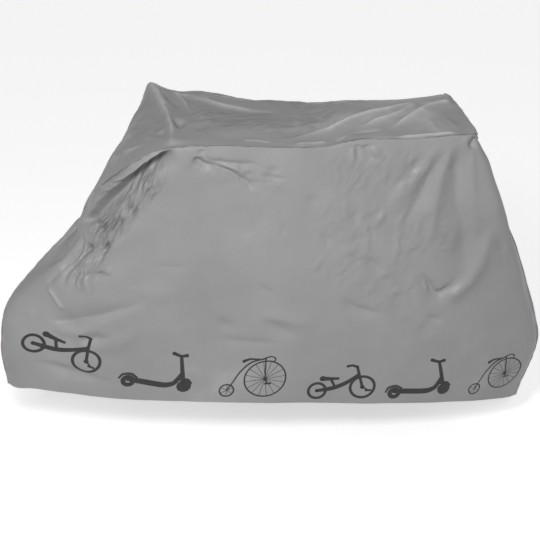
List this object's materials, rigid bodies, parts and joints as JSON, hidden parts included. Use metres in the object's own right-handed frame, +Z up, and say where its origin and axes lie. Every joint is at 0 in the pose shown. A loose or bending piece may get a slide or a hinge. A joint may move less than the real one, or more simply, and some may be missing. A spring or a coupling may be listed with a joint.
{
  "type": "bicycle cover",
  "caption": "Thin grey bicycle cover as it hangs over a bicycle: hollow, open at the hem, wide over the handlebar and drawn in over the front and rear wheels.",
  "frame": {"origin": "the underside of the top panel, on the middle plane, about midway between the handlebar and the rear edge", "axes": "+X towards the bicycle's rear, +Y towards its right side, +Z up"},
  "size_m": [1.7836, 0.6579, 1.0311],
  "materials": {
    "sheeting": "thin grey plastic sheeting, satin"
  },
  "bodies": {
    "root": {"left_panel": "sheeting", "right_panel": "sheeting", "top_panel": "sheeting"}
  },
  "joints": []
}
